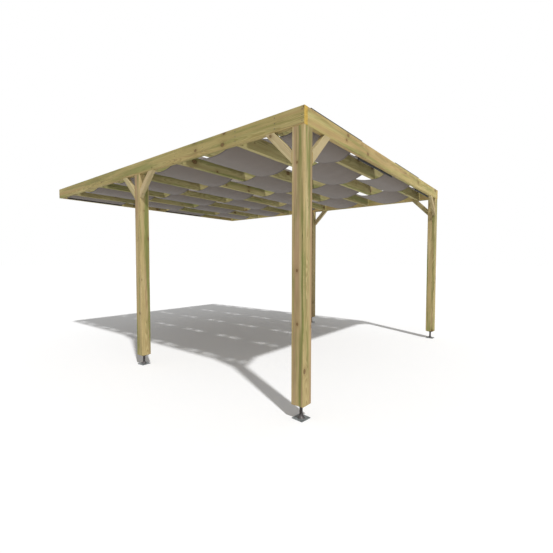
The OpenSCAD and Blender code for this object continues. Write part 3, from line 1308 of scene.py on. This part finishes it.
    def _binding(self, name: str, hold: Hold, beam: str, inward: int) -> bpy.types.Object:
        """Build the dark padded hem at an end of the strip; a tucked end also serves as painted shade along the
        beam's lower inner edge.

        Args:
            name: The piece's name.
            hold: Whether the end lies on the beam or is tucked behind it.
            beam: The beam's node.
            inward: Direction from the beam to the roof's middle, along Y.

        Returns:
            The binding, with a UV map in metres.
        """
        low, high = packed_box(beam)
        width, height = self.binding_w, self.binding_t
        if hold is Hold.OVER:
            outer = low.y if inward == 1 else high.y
            edge = outer + inward * self.setback
            spans = sorted((edge, edge + inward * width))
            bottom, top = high.z + self.clearance, high.z + self.clearance + height
        else:
            # A tucked end is a dark hem that also stands in for painted shade along the beam's lower inner edge.
            inner = high.y if inward == 1 else low.y
            edge = inner + inward * self.clearance
            spans = sorted((edge, edge + inward * height))
            top = low.z + self.tuck + self.binding_t / 2
            bottom = low.z + (0.002 if inward == -1 else -self.drop)
        bm = bmesh.new()
        uv = bm.loops.layers.uv.new("Cloth")
        verts = grown_box(bm, Vector((self.x0, spans[0], bottom)), Vector((self.x1, spans[1], top)))
        long_edges = [e for e in edges_of(verts) if abs(e.verts[0].co.x - e.verts[1].co.x) > 0.1]
        eased(bm, long_edges, 0.0040, 4)
        caps = [e for e in bm.edges if abs(e.verts[0].co.x - e.verts[1].co.x) < 1e-6]
        eased(bm, [e for e in caps if e.calc_length() > 0.001], 0.0008, 1)
        bm.normal_update()
        for face in bm.faces:
            for loop in face.loops:
                co = loop.vert.co
                loop[uv].uv = (co.y - spans[0] + co.z - bottom, co.x - self.x0)
        return settled(name, bm, smooth=False)


# --------------------------------------------------------------------------
# Fixings
# --------------------------------------------------------------------------


@dataclass
class Fixings:
    """The screws and bolts that show on the timbers.

    Attributes:
        rack: The finishes.
        joists: Number of joists.
        screw_d: Diameter of a countersunk head.
        bolt_flats: Width across a wall bolt's head.
        wall_bolts: Number of bolts through the wall beam.
    """

    rack: FinishRack
    joists: int
    screw_d: float = 0.010
    bolt_flats: float = 0.017
    wall_bolts: int = 14

    def build(self) -> None:
        """Build every group of screws and bolts."""
        for side in Side:
            self._beam_end_screws(side)
        self._brace_screws()
        self._wall_bolts()
        self._binding_screws()

    def _finish(self, name: str, bm: bmesh.types.BMesh) -> None:
        """Turn one group of fixings into a piece, dress it and attach it to the root body."""
        piece = settled(name, bm)
        self.rack.dress(piece, "screw_zinc")
        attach(piece, "root")
        log.info("%s: %d faces", name, len(piece.data.polygons))

    def _screw(self, bm: bmesh.types.BMesh, at: Vector, out: Vector, proud: float = 0.0004) -> None:
        """Add a countersunk screw head with its drive recess.

        Args:
            bm: The mesh to add it to.
            at: The head's middle, on the timber's face.
            out: Direction out of the timber.
            proud: Height of the head above the face.
        """
        radius, depth = self.screw_d / 2, 0.0024
        made = bmesh.ops.create_cone(
            bm, cap_ends=True, segments=16, radius1=radius * 0.7, radius2=radius, depth=depth)["verts"]
        top = max(faces_of(made), key=lambda f: f.calc_center_median().z)
        for share, sink in ((0.45, 0.0), (0.12, -0.0012)):
            bmesh.ops.inset_region(bm, faces=[top], thickness=radius * share, use_even_offset=True)
            bmesh.ops.translate(bm, vec=(0, 0, sink), verts=top.verts)
        grown = self._island(top)
        bmesh.ops.translate(bm, vec=(0, 0, proud - depth / 2), verts=grown)
        turn = Vector((0, 0, 1)).rotation_difference(out).to_matrix()
        bmesh.ops.rotate(bm, cent=(0, 0, 0), matrix=turn, verts=grown)
        bmesh.ops.translate(bm, vec=at, verts=grown)

    def _bolt(self, bm: bmesh.types.BMesh, at: Vector, out: Vector) -> None:
        """Add a hexagon head on its washer."""
        washer = bmesh.ops.create_cone(
            bm, cap_ends=True, segments=28, radius1=0.015, radius2=0.015, depth=0.0025)["verts"]
        bmesh.ops.translate(bm, vec=(0, 0, 0.00125), verts=washer)
        radius = self.bolt_flats / 2 / math.cos(math.pi / 6)
        head = bmesh.ops.create_cone(
            bm, cap_ends=True, segments=6, radius1=radius, radius2=radius * 0.97, depth=0.007)["verts"]
        bmesh.ops.translate(bm, vec=(0, 0, 0.0060), verts=head)
        grown = list(washer) + list(head)
        turn = Vector((0, 0, 1)).rotation_difference(out).to_matrix()
        bmesh.ops.rotate(bm, cent=(0, 0, 0), matrix=turn, verts=grown)
        bmesh.ops.translate(bm, vec=at, verts=grown)

    def _island(self, face: bmesh.types.BMFace) -> list:
        """Return every vertex joined to a face."""
        seen = set(face.verts)
        edge = list(seen)
        while edge:
            vert = edge.pop()
            for link in vert.link_edges:
                other = link.other_vert(vert)
                if other not in seen:
                    seen.add(other)
                    edge.append(other)
        return list(seen)

    def _beam_end_screws(self, side: Side) -> None:
        """Screw the joists and cross beams through a side beam's outer face."""
        word = side.name.lower()
        low, high = packed_box(f"{word}_beam")
        face_x = low.x if side is Side.LEFT else high.x
        bm = bmesh.new()
        nodes = [f"joist_{n}" for n in range(1, self.joists + 1)] + ["front_beam", "wall_beam"]
        for node in nodes:
            a, b = packed_box(node)
            y = (a.y + b.y) / 2
            for share in (0.20, 0.50, 0.80):
                at = Vector((face_x, y, a.z + (b.z - a.z) * share))
                self._screw(bm, at, Vector((side.value, 0, 0)))
        self._finish(f"{word}_beam_screws", bm)

    def _brace_screws(self) -> None:
        """Screw each brace to its post and beam through its sloping underside."""
        bm = bmesh.new()
        names = [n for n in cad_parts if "_brace_" in n]
        for name in sorted(names):
            low, high = packed_box(name)
            post_low, post_high = packed_box("_".join(name.split("_")[:2]) + "_post")
            post_mid = (post_low + post_high) / 2
            mid = (low + high) / 2
            spread = Vector((0, 1, 0)) if name.endswith("_in") else Vector((1, 0, 0))
            way = Vector((mid.x - post_mid.x, 0, 0)) if name.endswith("_in") else Vector(
                (0, mid.y - post_mid.y, 0))
            way.normalize()
            run = (way + Vector((0, 0, 1))).normalized()
            out = (way - Vector((0, 0, 1))).normalized()
            reach = high.z - low.z
            centre = mid.copy()
            centre += out * (reach * math.sqrt(0.5) - (mid - self._corner(low, high, way)).dot(out))
            for share in (-0.36, 0.36):
                for offset in (-0.011, 0.011):
                    at = centre + run * share * reach * math.sqrt(2) + spread * offset
                    self._screw(bm, at, out)
        self._finish("brace_screws", bm)

    def _corner(self, low: Vector, high: Vector, way: Vector) -> Vector:
        """Return the point where a brace's post and beam meet."""
        mid = (low + high) / 2
        half = (high - low) / 2
        back = abs(way.x) * half.x + abs(way.y) * half.y
        return Vector((mid.x - way.x * back, mid.y - way.y * back, high.z))

    def _wall_bolts(self) -> None:
        """Bolt the wall beam through its inner face."""
        low, high = packed_box("wall_beam")
        bm = bmesh.new()
        margin = 0.119
        for k in range(self.wall_bolts):
            x = low.x + margin + k * (high.x - low.x - 2 * margin) / (self.wall_bolts - 1)
            z = low.z + (0.035 if k % 2 == 0 else 0.105)
            self._bolt(bm, Vector((x, low.y, z)), Vector((0, -1, 0)))
        self._finish("wall_beam_bolts", bm)

    def _binding_screws(self) -> None:
        """Screw the bound cloth ends down to the beams."""
        bm = bmesh.new()
        strips = sorted(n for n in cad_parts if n.startswith("shade_strip_"))
        for number, node in enumerate(strips, start=1):
            low, high = packed_box(node)
            beam, inward = ("front_beam", 1) if number % 2 == 1 else ("wall_beam", -1)
            a, b = packed_box(beam)
            outer = a.y if inward == 1 else b.y
            for k in range(5):
                x = low.x + 0.05 + k * (high.x - low.x - 0.10) / 4
                self._screw(bm, Vector((x, outer + inward * 0.019, b.z + 0.0124)), Vector((0, 0, 1)))
        self._finish("binding_screws", bm)


# --------------------------------------------------------------------------
# Stage
# --------------------------------------------------------------------------


@dataclass
class Studio:
    """The floor, the lights and the camera.

    Attributes:
        spot: Where the camera stands.
        turn: The camera's turn about X, Y and Z, in degrees.
        lens: Focal length for a 36 mm sensor, in millimetres.
        sun_way: Direction in which the key light travels.
        sun: Strength of the key light.
        sky: Strength of the light from all round.
    """

    spot: tuple[float, float, float] = (-4.2183, -3.9795, 1.2805)
    turn: tuple[float, float, float] = (87.6692, -0.0891, -51.2836)
    lens: float = 22.162
    sun_way: tuple[float, float, float] = (0.323, 0.666, -1.0)
    sun: float = 2.5
    sky: float = 0.42

    def build(self) -> None:
        """Set up the view, the light and the floor."""
        scene = bpy.context.scene
        scene.view_settings.view_transform = "Standard"
        self._camera(scene)
        self._key_light(scene)
        self._surround(scene)
        self._floor()

    def _camera(self, scene: bpy.types.Scene) -> None:
        """Place the camera."""
        data = bpy.data.cameras.new("view")
        data.lens = self.lens
        data.sensor_width = 36.0
        data.sensor_fit = "HORIZONTAL"
        camera = bpy.data.objects.new("view", data)
        camera.location = self.spot
        camera.rotation_euler = tuple(math.radians(a) for a in self.turn)
        scene.collection.objects.link(camera)
        scene.camera = camera

    def _key_light(self, scene: bpy.types.Scene) -> None:
        """Add the soft key light, from the front and left."""
        data = bpy.data.lights.new("key", "SUN")
        data.energy = self.sun
        data.angle = math.radians(2.5)
        lamp = bpy.data.objects.new("key", data)
        lamp.rotation_euler = Vector((0, 0, -1)).rotation_difference(Vector(self.sun_way)).to_euler()
        scene.collection.objects.link(lamp)

    def _surround(self, scene: bpy.types.Scene) -> None:
        """Light from all round, with a plain white behind the object."""
        world = bpy.data.worlds.new("surround")
        world.use_nodes = True
        scene.world = world
        w = Wiring(world.node_tree)
        background = world.node_tree.nodes["Background"]
        background.inputs["Color"].default_value = (1.0, 1.0, 1.0, 1.0)
        path = w.add("ShaderNodeLightPath")
        seen = w.maths("MAXIMUM", path.outputs["Is Camera Ray"], path.outputs["Is Glossy Ray"])
        seen = w.maths("MAXIMUM", seen, path.outputs["Is Transmission Ray"])
        w.feed(background.inputs["Strength"], w.scaled(seen, self.sky, 1.0))

    def _floor(self) -> None:
        """Lay the plain pale floor."""
        bm = bmesh.new()
        bmesh.ops.create_grid(bm, x_segments=2, y_segments=2, size=150.0)
        floor = settled("floor", bm)
        material, w, shader = blank_material("pale_floor", 0.0)
        shader.inputs["Roughness"].default_value = 1.0
        seen = w.add("ShaderNodeLightPath").outputs["Is Camera Ray"]
        bounce, plain = (0.85, 0.85, 0.85, 1.0), (1.0, 1.0, 1.0, 1.0)
        w.feed(shader.inputs["Base Color"], w.blend(seen, bounce, plain))
        floor.data.materials.append(material)


def build_feet(rack: FinishRack) -> None:
    """Build the four feet; the left ones have turned a little on their rods."""
    turns: dict[str, float] = {"front_left": -5.5, "front_right": 0.0, "rear_left": 5.0, "rear_right": 0.0}
    for name, turn in turns.items():
        Foot(name, turn, rack).build()


def write_sizes() -> None:
    """Define a helper that rounds a box's corners into plain lists; nothing is written."""
    def plain(box: Iterable) -> list:
        return [[round(float(v), 6) for v in corner] for corner in box]


def main() -> None:
    """Build the pergola and its stage, and report each piece."""
    logging.basicConfig(level=logging.INFO, format="%(name)s: %(message)s")
    Studio().build()
    rack = FinishRack()
    carpentry = Carpentry(rack)
    timber_frame = Frame(carpentry)
    steps: list[Callable[[], None]] = [timber_frame.build, Braces(carpentry).build]
    for step in steps:
        step()
    build_feet(rack)
    strips = sum(1 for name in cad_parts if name.startswith("shade_strip_"))
    for number in range(1, strips + 1):
        ShadeStrip(number, timber_frame.joists, rack).build()
    Fixings(rack, timber_frame.joists).build()
    write_sizes()


if __name__ == "__main__":
    main()
